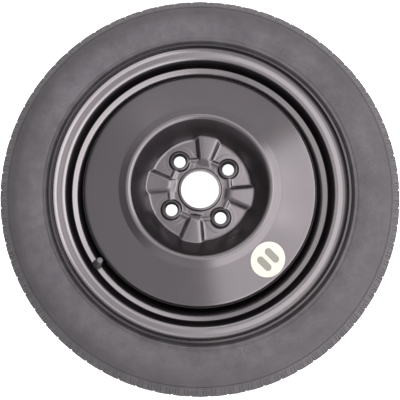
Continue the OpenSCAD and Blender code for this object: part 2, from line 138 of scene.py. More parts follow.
def rounded(path, step=5.0):
    """The points of an open path with its corners rounded."""
    out = []
    for i, p in enumerate(path):
        is_end = i in (0, len(path) - 1)
        out += [xy(p)] if is_end else corner(path[i - 1], p, path[i + 1], step)
    return out


def rounded_ring(path, step=5.0):
    """The points of a closed path with its corners rounded."""
    n = len(path)
    return [q for i in range(n) for q in corner(path[i - 1], path[i], path[(i + 1) % n], step)]


def beside(path, d):
    """The path moved sideways by d, with corner radii that keep the gap even."""
    out, last = [], len(path) - 1
    for i, p in enumerate(path):
        u = unit(xy(path[max(i, 1)]) - xy(path[max(i, 1) - 1]))
        v = unit(xy(path[min(i, last - 1) + 1]) - xy(path[min(i, last - 1)]))
        n = unit(left(u) + left(v))
        q = xy(p) + n * d / float(np.dot(n, left(u)))
        out.append((q[0], q[1], max(0.3, p[2] - d * np.sign(turn(u, v)))))
    return out


def mirrored(path):
    return [(p[0], -p[1], p[2]) for p in reversed(path)]


def sheet(path, t, step=5.0):
    """The closed outline of a sheet of thickness t along a path."""
    return rounded(path, step) + list(reversed(rounded(beside(path, -t), step)))


def spaced(points, longest, closed=True):
    """The same outline with points added so that no step is longer than given."""
    out, n = [], len(points)
    for i in range(n if closed else n - 1):
        a, b = points[i], points[(i + 1) % n]
        parts = max(1, math.ceil(np.linalg.norm(b - a) / longest))
        out += [a + (b - a) * k / parts for k in range(parts)]
    return out if closed else out + [points[-1]]


def smooth(low, high, x):
    """0 below low, 1 above high and an even bend between them."""
    t = np.clip((x - low) / (high - low), 0, 1)
    return t * t * (3 - 2 * t)


# Meshes
def add_mesh(name, verts, faces, material, smooth_shade=True, sharp=None):
    mesh = bpy.data.meshes.new(name)
    mesh.from_pydata([tuple(v) for v in verts], [], [tuple(int(i) for i in f) for f in faces])
    mesh.update()
    obj = bpy.data.objects.new(name, mesh)
    bpy.context.scene.collection.objects.link(obj)
    mesh.polygons.foreach_set("use_smooth", [smooth_shade] * len(mesh.polygons))
    if sharp is not None:
        mesh.set_sharp_from_angle(angle=math.radians(sharp))
    mesh.materials.append(material)
    return obj


def face_outwards(obj, merge=None):
    """Turns every face of a closed mesh outwards, after joining points closer than merge."""
    bm = bmesh.new()
    bm.from_mesh(obj.data)
    if merge is not None:
        bmesh.ops.remove_doubles(bm, verts=bm.verts, dist=merge)
    bmesh.ops.recalc_face_normals(bm, faces=bm.faces)
    bm.to_mesh(obj.data)
    bm.free()


def ring_faces(first, second, n):
    """Quads between two rings of n points whose numbers start at first and second."""
    k = np.arange(n)
    nxt = (k + 1) % n
    return np.stack([first + k, first + nxt, second + nxt, second + k], 1)


def even(n):
    """n angles spread evenly over a turn."""
    return np.arange(n) * 2 * math.pi / n


def circle(centre, r, n):
    """n points of a circle, as an array of x and one of y."""
    a = even(n)
    return centre[0] + r * np.cos(a), centre[1] + r * np.sin(a)


def revolve(outline, columns, move=None):
    """Points and faces of a closed outline in (r, z) turned round Z, one column per angle.

    move(r, z, angle) may shift the points. z counts from the wheel's middle, which comes to lie
    WHEEL_OFFSET behind the mounting face.
    """
    angles = np.asarray(columns)
    n, rows = len(angles), len(outline)
    r = np.array([p[0] for p in outline])[:, None] + 0 * angles[None]
    z = np.array([p[1] for p in outline])[:, None] + 0 * angles[None]
    if move is not None:
        r, z = move(r, z, angles[None] + 0 * r)
    z = z - WHEEL_OFFSET
    verts = np.stack([r * np.cos(angles), r * np.sin(angles), z], -1).reshape(-1, 3) * MM
    faces = [ring_faces(i * n, (i + 1) % rows * n, n) for i in range(rows)]
    return verts, np.concatenate(faces)


# Materials. Their lengths are in metres, and colours are linear.
class Nodes:
    """A node tree with short ways to add nodes and links."""

    def __init__(self, tree):
        self.nodes, self.links = tree.nodes, tree.links

    def put(self, socket, value):
        if isinstance(value, bpy.types.NodeSocket):
            self.links.new(value, socket)
        else:
            socket.default_value = value

    def node(self, kind, **inputs):
        n = self.nodes.new("ShaderNode" + kind)
        for key, value in inputs.items():
            self.put(n.inputs[key.replace("_", " ")], value)
        return n

    def maths(self, operation, a, b=0.0, clamp=False):
        n = self.node("Math")
        n.operation, n.use_clamp = operation, clamp
        for socket, value in zip(n.inputs, (a, b)):
            self.put(socket, value)
        return n.outputs[0]

    def dot(self, a, b):
        """a[0] * b[0] + a[1] * b[1]"""
        return self.maths("ADD", *[self.maths("MULTIPLY", p, q) for p, q in zip(a, b)])

    def length(self, a):
        return self.maths("SQRT", self.dot(a, a))

    def blend(self, share, a, b):
        """(1 - share) * a + share * b"""
        return self.dot((self.maths("SUBTRACT", 1.0, share), share), (a, b))

    def step(self, value, low, high):
        """0 below low, 1 above high and an even bend between them."""
        n = self.node("MapRange", Value=value, From_Min=low, From_Max=high)
        n.interpolation_type = "SMOOTHSTEP"
        return n.outputs[0]


class Shader(Nodes):
    """One node material with the principled shader."""

    def __init__(self, name, **inputs):
        self.material = bpy.data.materials.new(name)
        self.material.use_nodes = True
        super().__init__(self.material.node_tree)
        self.bsdf = self.nodes["Principled BSDF"]
        for key, value in inputs.items():
            self.bsdf.inputs[key.replace("_", " ")].default_value = value

    def to(self, key, value):
        self.links.new(value, self.bsdf.inputs[key])

    def place(self):
        return self.node("TexCoord").outputs["Object"]

    def place_xy(self):
        split = self.node("SeparateXYZ", Vector=self.place())
        return split.outputs["X"], split.outputs["Y"]

    def noise(self, scale, detail=4.0, roughness=0.55):
        n = self.node("TexNoise", Vector=self.place(), Scale=scale, Detail=detail,
                      Roughness=roughness)
        return n.outputs["Fac"]

    def ramp(self, fac, stops):
        """A ramp through grey values, each given with its place from 0 to 1."""
        n = self.node("ValToRGB", Fac=fac)
        while len(n.color_ramp.elements) < len(stops):
            n.color_ramp.elements.new(0.5)
        for e, (at, value) in zip(n.color_ramp.elements, stops):
            e.position = at
            e.color = (value, value, value, 1)
        return n.outputs["Color"]

    def mix(self, fac, a, b):
        n = self.node("Mix")
        n.data_type = "RGBA"
        for key, value in zip(("Factor", 6, 7), (fac, a, b)):
            self.put(n.inputs[key], value)
        return n.outputs[2]

    def bump(self, height, strength, distance):
        n = self.node("Bump", Height=height, Strength=strength, Distance=distance)
        return n.outputs["Normal"]

    def across(self, inner, outer):
        """How far a point lies from the inner radius round Z to the outer one, from 0 to 1."""
        r = self.length(self.place_xy())
        return self.maths("DIVIDE", self.maths("SUBTRACT", r, inner), outer - inner, clamp=True)


FINE_GRAIN = 0.0002
# Between these radii the rubber darkens towards the tread
DARKER_FROM, DARKER_TO = 0.243, 0.266


def painted_steel(name, coat, painted_shade_by_radius=None):
    """Gloss black paint with a fine orange peel and a little dust.

    The last argument lists (radius in mm, share of the gloss) from the inside out. A low share
    dulls the paint and the coat there, as painted shade.
    """
    paint, dusty = (0.0026, 0.0022, 0.0026, 1), (0.0065, 0.0055, 0.0055, 1)
    s = Shader(name, Coat_Weight=coat, Coat_Roughness=0.14, Coat_IOR=1.6,
               Specular_Tint=(1.0, 0.95, 0.985, 1), Specular_IOR_Level=1.0)
    dust = s.ramp(s.noise(9.0, 6.0, 0.6), [(0.45, 0.0), (0.8, 1.0)])
    s.to("Base Color", s.mix(dust, paint, dusty))
    s.to("Roughness", s.ramp(s.noise(30.0, 5.0, 0.6), [(0.3, 0.18), (0.7, 0.24)]))
    s.to("Normal", s.bump(s.noise(600.0, 2.0, 0.5), 0.05, FINE_GRAIN))
    # Painted shade: between the listed radii the gloss and the coat are cut down
    if painted_shade_by_radius:
        inner, outer = painted_shade_by_radius[0][0], painted_shade_by_radius[-1][0]
        stops = [((r - inner) / (outer - inner), share) for r, share in painted_shade_by_radius]
        gloss = s.ramp(s.across(inner * MM, outer * MM), stops)
        s.to("Specular IOR Level", gloss)
        s.to("Coat Weight", s.maths("MULTIPLY", gloss, coat))
    return s.material


def tyre_rubber(name):
    """Black rubber with grey dust, darker towards the tread, and a fine moulded grain."""
    clean, dusty = (0.027, 0.025, 0.028, 1), (0.050, 0.047, 0.051, 1)
    pores, darker_tone = (0.024, 0.023, 0.026, 1), (0.018, 0.017, 0.019, 1)
    s = Shader(name, Specular_IOR_Level=0.35)
    dust = s.ramp(s.noise(26.0, 8.0, 0.7), [(0.38, 0.0), (0.64, 1.0)])
    fine = s.noise(420.0, 4.0, 0.6)
    tone = s.mix(dust, clean, dusty)
    tone = s.mix(s.maths("MULTIPLY", fine, 0.35), tone, pores)
    tone = s.mix(s.maths("MULTIPLY", s.across(DARKER_FROM, DARKER_TO), 0.6), tone, darker_tone)
    s.to("Base Color", tone)
    s.to("Roughness", s.ramp(fine, [(0.3, 0.55), (0.7, 0.72)]))
    s.to("Normal", s.bump(fine, 0.25, 2 * FINE_GRAIN))
    return s.material


def simple(name, colour, roughness, metallic=0.0, spots=60.0, bump=0.1, specular=0.5):
    """A plain finish with uneven tone, uneven gloss and a fine grain."""
    s = Shader(name, Metallic=metallic, Specular_IOR_Level=specular)
    n = s.noise(spots, 5.0, 0.6)
    dark = tuple(c * 0.75 for c in colour)
    s.to("Base Color", s.mix(n, colour + (1,), dark + (1,)))
    s.to("Roughness", s.ramp(n, [(0.3, roughness - 0.06), (0.7, roughness + 0.08)]))
    s.to("Normal", s.bump(s.noise(spots * 12, 3.0), bump, FINE_GRAIN))
    return s.material


# The label's two bars: direction, distance from its middle, half length, radius and how sharply
# they end, per metre
BAR_TURN, BAR_APART, BAR_HALF, BAR_R, BAR_EDGE = 137.0, 0.0078, 0.0072, 0.0052, 4000.0


def label_print():
    """Cream vinyl with two plain rounded bars."""
    vinyl, dusty, ink = (0.31, 0.31, 0.262, 1), (0.27, 0.27, 0.225, 1), (0.088, 0.09, 0.072, 1)
    s = Shader("label_print")
    middle = LABEL_AT * MM * direction(LABEL_ANGLE)
    offset = [s.maths("SUBTRACT", p, q) for p, q in zip(s.place_xy(), middle)]
    c, d = direction(BAR_TURN)
    along, across = s.dot(offset, (c, d)), s.dot(offset, (-d, c))
    run = s.maths("MAXIMUM", s.maths("SUBTRACT", s.maths("ABSOLUTE", along), BAR_HALF), 0.0)
    bars = []
    for shift in (-BAR_APART, BAR_APART):
        away = s.length((run, s.maths("SUBTRACT", across, shift)))
        bars.append(s.maths("MULTIPLY", s.maths("SUBTRACT", BAR_R, away), BAR_EDGE, clamp=True))
    paper = s.mix(s.noise(70.0, 5.0), vinyl, dusty)
    s.to("Base Color", s.mix(s.maths("MAXIMUM", *bars), paper, ink))
    s.to("Roughness", s.ramp(s.noise(40.0), [(0.3, 0.4), (0.7, 0.5)]))
    s.to("Normal", s.bump(s.noise(500.0), 0.05, FINE_GRAIN))
    return s.material


# The rim's gloss over the radius. Painted shade: the paint is dulled in the hollow of the bead
# seat, where shade falls, and on the cut edge, which would otherwise shine brightly.
SEAT_PAINTED_SHADE = [(184.8, 1.0), (185.5, 0.05), (191.8, 0.05), (193.5, 1.0), (209.2, 1.0), (210.0, 0.3)]

DISC_PAINT = painted_steel("black_paint", 0.0)
RIM_PAINT = painted_steel("rim_paint", 0.5, SEAT_PAINTED_SHADE)
CASING = tyre_rubber("casing_rubber")
TREAD = tyre_rubber("tread_rubber")
RUBBER = simple("valve_rubber", (0.03, 0.03, 0.032), 0.55)
BRASS = simple("brass", (0.62, 0.46, 0.2), 0.32, metallic=1.0)
CAP = simple("cap_plastic", (0.035, 0.035, 0.038), 0.38, specular=0.6)
SPRING = simple("spring_steel", (0.6, 0.6, 0.62), 0.3, metallic=1.0)
GASKET = simple("gasket", (0.25, 0.03, 0.02), 0.5)
WELD = simple("weld_bead", (0.05, 0.047, 0.047), 0.38, spots=180.0, bump=0.5, specular=0.8)


# Camera and studio, in metres
EYE, TARGET = Vector((0.0, -0.121, 0.796)), Vector((0.0, -0.0084, -0.045))
LENS, SENSOR = 50.4, 36.0


def camera():
    cam = bpy.data.cameras.new("camera")
    cam.lens, cam.sensor_width = LENS, SENSOR
    cam.clip_start, cam.clip_end = 0.01, 50
    obj = bpy.data.objects.new("camera", cam)
    bpy.context.scene.collection.objects.link(obj)
    forward = (TARGET - EYE).normalized()
    right = forward.cross(Vector((0, 1, 0))).normalized()
    up = right.cross(forward)
    turned_to = Matrix((right, up, -forward)).transposed().to_4x4()
    obj.matrix_world = Matrix.Translation(EYE) @ turned_to
    bpy.context.scene.camera = obj


TINT = (1.0, 0.95, 0.975)
# Direction, half width and softness of each sector of the surroundings, in degrees
PANEL, TOP, DARK = (-21.0, 59.0, 6.0), (92.0, 45.0, 20.0), (178.0, 42.0, 18.0)
# Light of the low and the middle ring: elsewhere, in the panel, in the top and in the dark sector
LOW_LIGHT, MIDDLE_LIGHT = (1.8, 5.4, 1.3, 0.6), (1.5, 4.0, 1.8, 1.5)
ZENITH_LIGHT, HORIZON_LIGHT = 1.9, 1.3
# Heights (the sine of the angle above the level) between which one ring passes into the next
HORIZON_TO_LOW, LOW_TO_MIDDLE, MIDDLE_TO_ZENITH = (0.06, 0.18), (0.36, 0.66), (0.86, 0.97)
# Panels above the wheel: left, right, front and back edges, and the light of each
OVERHEAD_Z = 1.0
OVERHEAD = [(0.02, 0.32, -0.62, 0.55, 2.8), (0.32, 1.1, -0.26, 0.55, 3.6),
            (-0.7, 0.3, 0.72, 1.2, 2.4), (-0.75, -0.17, -0.35, 0.55, 1.2)]
FLOOR_HALF = 3.0


def surroundings():
    """Light from all round: bright at the right, dark at the left, with a pale horizon."""
    world = bpy.data.worlds.new("studio")
    world.use_nodes = True
    bpy.context.scene.world = world
    tree = Nodes(world.node_tree)
    split = tree.node("SeparateXYZ", Vector=tree.node("TexCoord").outputs["Generated"])
    x, y, z = split.outputs
    level_length = tree.maths("MAXIMUM", tree.length((x, y)), 0.001)

    def sector(degrees, half, soft):
        """1 within half the angle of a direction, 0 outside it, over the turn round Z."""
        towards = tree.maths("DIVIDE", tree.dot((x, y), direction(degrees)), level_length)
        far, near = math.radians(half + soft), math.radians(max(half - soft, 0))
        return tree.step(towards, math.cos(far), math.cos(near))

    in_panel, in_top, in_dark = sector(*PANEL), sector(*TOP), sector(*DARK)

    def ring(rest_light, panel_light, top_light, dark_light):
        light = tree.blend(in_top, rest_light, top_light)
        light = tree.blend(in_dark, light, dark_light)
        return tree.blend(in_panel, light, panel_light)

    light = tree.blend(tree.step(z, *LOW_TO_MIDDLE), ring(*LOW_LIGHT), ring(*MIDDLE_LIGHT))
    light = tree.blend(tree.step(z, *MIDDLE_TO_ZENITH), light, ZENITH_LIGHT)
    light = tree.blend(tree.step(z, *HORIZON_TO_LOW), HORIZON_LIGHT, light)
    background = tree.nodes["Background"]
    tree.links.new(light, background.inputs["Strength"])
    background.inputs["Color"].default_value = TINT + (1,)


def overhead(name, x0, x1, y0, y1, level):
    """A flat light above the wheel that faces down, with its edges and its radiance."""
    light = bpy.data.lights.new(name, "AREA")
    light.shape, light.size, light.size_y = "RECTANGLE", x1 - x0, y1 - y0
    light.energy = level * math.pi * (x1 - x0) * (y1 - y0)
    light.color = TINT
    obj = bpy.data.objects.new(name, light)
    obj.location = ((x0 + x1) / 2, (y0 + y1) / 2, OVERHEAD_Z)
    obj.visible_camera = False
    bpy.context.scene.collection.objects.link(obj)


def studio():
    """Soft light, and a floor that shines white by itself."""
    bpy.context.scene.view_settings.view_transform = "Standard"
    surroundings()
    for i, panel in enumerate(OVERHEAD):
        overhead(f"overhead_{i}", *panel)
    s = Shader("floor", Roughness=0.6, Emission_Color=(1, 1, 1, 1), Emission_Strength=1.0)
    s.to("Base Color", s.mix(s.noise(2.0), (0.9, 0.9, 0.9, 1), (0.86, 0.86, 0.86, 1)))
    far, floor_z = FLOOR_HALF, -(WHEEL_OFFSET + HALF_TYRE) * MM
    corners = [(x, y, floor_z) for x, y in ((-far, -far), (far, -far), (far, far), (-far, far))]
    floor = add_mesh("floor", corners, [(0, 1, 2, 3)], s.material, smooth_shade=False)


# Mesh density: the longest step of an outline in degrees round a bend and in millimetres along it,
# and the columns round the wheel
RIM_BEND, RIM_STEP, RIM_COLUMNS = 6.5, 6.0, 336
TYRE_BEND, TYRE_STEP, TYRE_COLUMNS = 9.0, 7.0, 264
FRONT_SPACING, BACK_SPACING = 0.88, 1.5
FRONT_STEP, BACK_STEP, FAR_STEP = 1.1, 1.8, 6.0
DISC_COLUMNS, BORE_COLUMNS, HOLE_COLUMNS = 384, 192, 72


# Wheel rim: one rolled sheet, as (radius, height from its middle, corner radius)
def build_rim():
    half = [(FLANGE_TOP, LIP_END, 0), (FLANGE_TOP, HALF_W + FLANGE_DISH, CURL_R),
            (RIM_R, HALF_W - FLANGE_DISH, HEEL_R), (SEAT_END_R, SEAT_END_Z, 4),
            (HUMP_R, HUMP_Z, 2.4), (RAMP_R, RAMP_Z, RAMP_BEND), (WELL_R, WELL_W / 2, 7)]
    outline = spaced(sheet(half + mirrored(half), RIM_T, RIM_BEND), RIM_STEP)
    verts, faces = revolve(outline, even(RIM_COLUMNS))
    obj = add_mesh("rim_sheet", verts, faces[:, ::-1], RIM_PAINT, sharp=40)
    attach(obj, "root")
    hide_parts("rim")


# Tyre: a tread piece and a casing piece, which meet at the radius JOIN_R. The places and widths of
# slots and sipes round the tyre are shares of the slots' pitch.
JOIN_R, TREAD_DEEP = 271.8, 6.2
GROOVE_SLOPE = 0.4
CROWN_ROWS, SHOULDER_FROM = (26.5, 29.0, 30.2, 34.0, 38.0), 39.5
SLOTS_FROM, FADE_FROM, SLOT_DEPTH, SLOT_FADE = 29.5, 34.0, 3.2, 1.9
SLOT_PITCH = 2 * math.pi * TYRE_R / SLOT_COUNT
SLOT_TOP, SLOT_FLOOR = 0.56 * SLOT_W / SLOT_PITCH, 0.36 * SLOT_W / SLOT_PITCH
SIPES, SIPE_DEPTH = (1 / 6, 1 / 3), 1.6
SIPE_HALF = 0.45 / SLOT_PITCH
# Raised lines across the side wall. Their half widths at the foot and on top are in radians. They
# fade out towards the ridge and between the radii MOULD_FADE.
MOULD_LINES, MOULD_START, MOULD_RISE = 8, 14.0, 0.45
MOULD_FOOT, MOULD_TOP = 0.0042, 0.0016
MOULD_FADE, MOULD_FROM_Z = (249.0, 254.0), 55.0


def crown(z):
    """The tread's radius over the height from the tyre's middle."""
    return TYRE_R - z * z / (2 * CROWN_R)


def down(share):
    """The radius at a share of the section's height below the tread."""
    return TYRE_R - share * SECTION_H


def tread_outline():
    """The tread's surface from its middle over the front shoulder, as rows of (r, z)."""
    path = [(crown(z), z, 0) for z in np.arange(0, HALF_TREAD - 1, HALF_TREAD / 8)]
    path += [(crown(HALF_TREAD), HALF_TREAD, SHOULDER_R), (down(0.174), HALF_TYRE - 6.5, 12),
             (down(0.299), HALF_TYRE - 1.2, 30)]
    line = np.array(rounded(path, TYRE_BEND))
    return line[line[:, 0] > JOIN_R]


def tread_rows():
    """The surface rows of the tread's front half, with the grooves cut in."""
    foot, top = GROOVE_W / 2 - GROOVE_SLOPE, GROOVE_W / 2
    cuts = [(foot, GROOVE_DEPTH), (top, 0.0), (8.0, 0.0), (12.5, 0.0),
            (GROOVE_PITCH - top, 0.0), (GROOVE_PITCH - foot, GROOVE_DEPTH),
            (GROOVE_PITCH + foot, GROOVE_DEPTH), (GROOVE_PITCH + top, 0.0)]
    cuts += [(z, 0.0) for z in CROWN_ROWS]
    shoulder = [tuple(q) for q in tread_outline() if q[1] > SHOULDER_FROM]
    return [(crown(z) - deep, z) for z, deep in cuts] + shoulder


def tread_columns():
    """The angles that one column of points each needs for the slots and the sipes."""
    steps = []
    for at in (0.0, 0.5):
        steps += [(at - SLOT_TOP) % 1, (at - SLOT_FLOOR) % 1, at, at + SLOT_FLOOR, at + SLOT_TOP]
        for sipe in SIPES:
            steps += [at + sipe - SIPE_HALF, at + sipe, at + sipe + SIPE_HALF]
    steps = np.sort(np.array(steps))
    return np.concatenate([k + steps for k in range(SLOT_COUNT)]) * 2 * math.pi / SLOT_COUNT


def build_tread():
    surface = tread_rows()
    last_r, last_z = surface[-1]
    edge = (JOIN_R, float(np.interp(JOIN_R, [last_r - 6, last_r], [last_z + 0.9, last_z])))
    under = [edge, (edge[0] - 0.25, edge[1] - 0.3), (down(0.2), HALF_TREAD + 4),
             (crown(HALF_TREAD) - TREAD_DEEP, HALF_TREAD - 6), (TYRE_R - TREAD_DEEP, 12.0)]
    half = surface + under
    outline = np.array(half + [(r, -z) for r, z in reversed(half)])
    front = np.arange(len(outline)) < len(half)
    skin = np.minimum(np.arange(len(outline)), np.arange(len(outline))[::-1]) < len(surface)
    tangent = np.roll(outline, -1, 0) - np.roll(outline, 1, 0)
    normal = np.stack([tangent[:, 1], -tangent[:, 0]], 1)
    normal /= np.linalg.norm(normal, axis=1)[:, None]

    radius, away = outline[:, 0], np.abs(outline[:, 1])
    slotted = (away > SLOTS_FROM) * skin
    slot_deep = slotted * (SLOT_DEPTH - SLOT_FADE * smooth(FADE_FROM, HALF_TREAD, away))
    slot_deep *= smooth(down(0.155) - 1.0, down(0.115), radius)
    sipe_deep = slotted * SIPE_DEPTH * smooth(down(0.13) - 0.5, down(0.09), radius)

    def inside(u, at, half_width, slope):
        """1 inside a cut at a place of the pitch, 0 outside it, with a sloping side."""
        d = np.abs((u - at + 0.5) % 1 - 0.5)
        return np.clip((half_width - d) / slope, 0, 1)

    def move(r, z, angle):
        u = angle * SLOT_COUNT / (2 * math.pi)
        cut = np.zeros_like(r)
        for is_front, shift in ((True, 0.0), (False, 0.5)):
            deep = inside(u, shift, SLOT_TOP, SLOT_TOP - SLOT_FLOOR) * slot_deep[:, None]
            for at in SIPES + tuple(sipe + 0.5 for sipe in SIPES):
                sipe = inside(u, shift + at, SIPE_HALF, SIPE_HALF) * sipe_deep[:, None]
                deep = np.maximum(deep, sipe)
            cut = np.where(front[:, None] == is_front, deep, cut)
        return r - cut * normal[:, 0][:, None], z - cut * normal[:, 1][:, None]

    verts, faces = revolve(outline, tread_columns(), move=move)
    obj = add_mesh("tyre_tread", verts, faces, TREAD, sharp=35)
    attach(obj, "root")
    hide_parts("tyre")


def casing_outline():
    """The casing's section: outside of the front wall, bead, inside, and the same mirrored."""
    bead_out, ridge_half = HALF_W - BEAD_GAP, RIDGE_W / 2
    base = (crown(HALF_TREAD) - 6, HALF_TREAD - 8, 3)
    side = [
        (JOIN_R - 5.5, HALF_TREAD + 3, 1.0), (JOIN_R - 0.6, HALF_TYRE - 7.4, 0),
        (down(0.174) - 1.7, HALF_TYRE - 6.2, 0.3), (down(0.299), HALF_TYRE - 1.2, 30),
        (down(0.518), HALF_TYRE, 40), (RIDGE_R + 5, HALF_TYRE - 2.6, 2),
        (RIDGE_R + 3.4, HALF_TYRE - 3.6, 0.8), (RIDGE_R + ridge_half + 0.5, HALF_TYRE - 3.7, 0.3),
        (RIDGE_R + ridge_half, HALF_TYRE - 2.4, 0.4), (RIDGE_R - ridge_half, HALF_TYRE - 2.4, 0.4),
        (FLANGE_TOP + 2.6, HALF_W + 5.4, 1.2), (FLANGE_TOP - 0.39 * CURL_R, bead_out, CURL_R + 1),
        (RIM_R + BEAD_GAP, bead_out, HEEL_R),
        (SEAT_END_R + 0.8 * SEAT_SLOPE + BEAD_GAP, SEAT_END_Z + 0.8, 1.5),
        (RIM_R + 4, SEAT_END_Z - 0.5, 2), (RIM_R + 13, HALF_W - 10.5, 10),
        (RIDGE_R + 2, HALF_TYRE - WALL_T - 2.5, 14), (down(0.478), HALF_TYRE - WALL_T, 35),
        (down(0.2), HALF_TYRE - WALL_T - 8, 14), (crown(HALF_TREAD) - TREAD_T, HALF_TREAD - 14, 14),
        (TYRE_R - TREAD_T, 0, 0)]
    top = (TYRE_R - TREAD_DEEP + 0.5, 0, 0)
    path = [top, base] + side + mirrored(side)[1:] + mirrored([base])
    return np.array(spaced(rounded_ring(path, TYRE_BEND), TYRE_STEP))


def build_casing():
    outline = casing_outline()
    lines = [math.radians(MOULD_START) + k * 2 * math.pi / MOULD_LINES for k in range(MOULD_LINES)]
    at_lines = [at + w for at in lines for w in (-MOULD_FOOT, -MOULD_TOP, MOULD_TOP, MOULD_FOOT)]
    columns = np.sort(np.concatenate([even(TYRE_COLUMNS), np.array(at_lines)]))
    columns = columns[np.concatenate([[True], np.diff(columns) > 1e-5])]
    radius, away = outline[:, 0], np.abs(outline[:, 1])
    # The lines stop short of the widest part, so that the tyre isn't wider than its solid
    on_wall = (away > MOULD_FROM_Z) * (away < HALF_TYRE - 0.75)
    on_wall = on_wall * smooth(RIDGE_R + 6, RIDGE_R + 9, radius) * (1 - smooth(*MOULD_FADE, radius))

    def move(r, z, angle):
        d = np.full_like(angle, 9.0)
        for at in lines:
            d = np.minimum(d, np.abs((angle - at + math.pi) % (2 * math.pi) - math.pi))
        rise = np.clip((MOULD_FOOT - d) / (MOULD_FOOT - MOULD_TOP), 0, 1) * on_wall[:, None]
        return r, z + MOULD_RISE * rise * np.sign(z)

    verts, faces = revolve(outline, columns, move=move)
    obj = add_mesh("tyre_casing", verts, faces[:, ::-1], CASING, sharp=40)
    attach(obj, "root")
    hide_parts("tyre")


# Wheel disc: one pressed sheet, as heights above the mounting face. The pad within PATCH_R is an
# even spread of triangles, and the rest a grid of rows and columns.
PATCH_R, RIBS_END_R = 70.0, 92.0
SEAT_REACH = 22.0
SEAT_RINGS = [BOLT_R, 8.6, 9.1, 9.7, 10.3, 10.9, 11.4, 11.9, 12.4, 13.0, 13.7, 14.4, 15.1, 15.9,
              16.7]
COLLAR_R = BORE_R + COLLAR_T
COLLAR_BEND, COLLAR_FILLET = 1.6, 2.5
BORE_RINGS = [BORE_R, 28.4, 29.2, 29.9, 30.35]
BORE_RINGS += [COLLAR_R + d for d in (0, 0.06, 0.5, 1.0, 1.6, 2.5)]
# How far a rib's rounded edges run out past the solid's flanks, how much longer its slopes are, and
# the size of the blend into the pad
RIB_ROUND, RIB_SOFTER, RIB_BLEND = 2.6, 2.2, 0.9
# Webs of the pad: height, width, radius of their far ends, and the radii between which they show
WEB_H, WEB_W, WEB_END_R, WEB_IN, WEB_OUT = 2.6, 3.4, 44.0, 31.0, 66.0
HOLE_ANGLES = [BOLT_ANGLE + k * 360 / BOLT_COUNT for k in range(BOLT_COUNT)]
HOLES = [BOLT_AT * direction(angle) for angle in HOLE_ANGLES]


def disc_lines():
    """The disc's front and back lines from the bore to the end of its flange, as rows of (r, z)."""
    path = [(BORE_R - 1, DISC_T, 0), (PAD_R, DISC_T, 5), (LIP_R, LIP_Z, LIP_BEND),
            (CREASE_R, CREASE_Z, CREASE_BEND), (DISC_OUT, SHOULDER_Z, SHOULDER_BEND),
            (DISC_OUT, -WHEEL_OFFSET - FLANGE_DROP, 0)]
    return np.array(rounded(path)), np.array(rounded(beside(path, -DISC_T)))


def soft_clamp(t, soft):
    """t held between 0 and 1, with rounded bends."""
    return (np.sqrt(t * t + soft * soft) - np.sqrt((t - 1) ** 2 + soft * soft) + 1) / 2


def soft_max(a, b, k):
    return (a + b + np.sqrt((a - b) ** 2 + k * k)) / 2


def soft_min(a, b, k):
    return -soft_max(-a, -b, k)


def rib_share(x, y, inset_flank=-RIB_ROUND, inset_ramp=-RIB_ROUND, soft=0.16, longer=RIB_SOFTER):
    """How far a point lies up the nearest rib, from 0 beside it to 1 on its top."""
    best = np.zeros_like(x)
    for k in range(BOLT_COUNT):
        c, s = direction(RIB_ANGLE + k * 360 / BOLT_COUNT)
        u, v = x * c + y * s, y * c - x * s
        along = (u - RIB_IN) / (RIB_OUT - RIB_IN)
        half = (RIB_FOOT_IN + (RIB_FOOT_OUT - RIB_FOOT_IN) * along) / 2 - inset_flank
        side = (half - np.abs(v)) / (RIB_FLANK + longer)
        end = (u - RIB_IN - inset_ramp) / (RIB_RAMP + longer)
        best = np.maximum(best, soft_clamp(soft_min(side, end, 0.22), soft))
    return best


def nearest_hole(x, y):
    """The distance to the middle of the nearest stud hole."""
    q = np.full_like(x, 1e3)
    for hole in HOLES:
        q = np.minimum(q, np.hypot(x - hole[0], y - hole[1]))
    return q


def seat_height(q):
    """Outside of a nut seat over the distance from its hole."""
    crest, foot = SEAT_CREST_R + 0.9, SEAT_FOOT_R + 0.3
    return DISC_T + SEAT_H * soft_clamp((foot - q) / (foot - crest), 0.12)


def web_height(x, y):
    """Low webs that run from the nut seats to the inner ends of the ribs."""
    best = np.zeros_like(x)
    for angle, start in zip(HOLE_ANGLES, HOLES):
        for side in (-45, 45):
            line = WEB_END_R * direction(angle + side) - start
            t = ((x - start[0]) * line[0] + (y - start[1]) * line[1]) / (line @ line)
            t = np.clip(t, 0, 1)
            d = np.hypot(x - start[0] - t * line[0], y - start[1] - t * line[1])
            best = np.maximum(best, WEB_H * np.exp(-(d / WEB_W) ** 2))
    return best


def arc_height(r, d):
    """The height of a circle of radius r over the distance d from its middle."""
    return np.sqrt(np.clip(r ** 2 - d ** 2, 0, None))


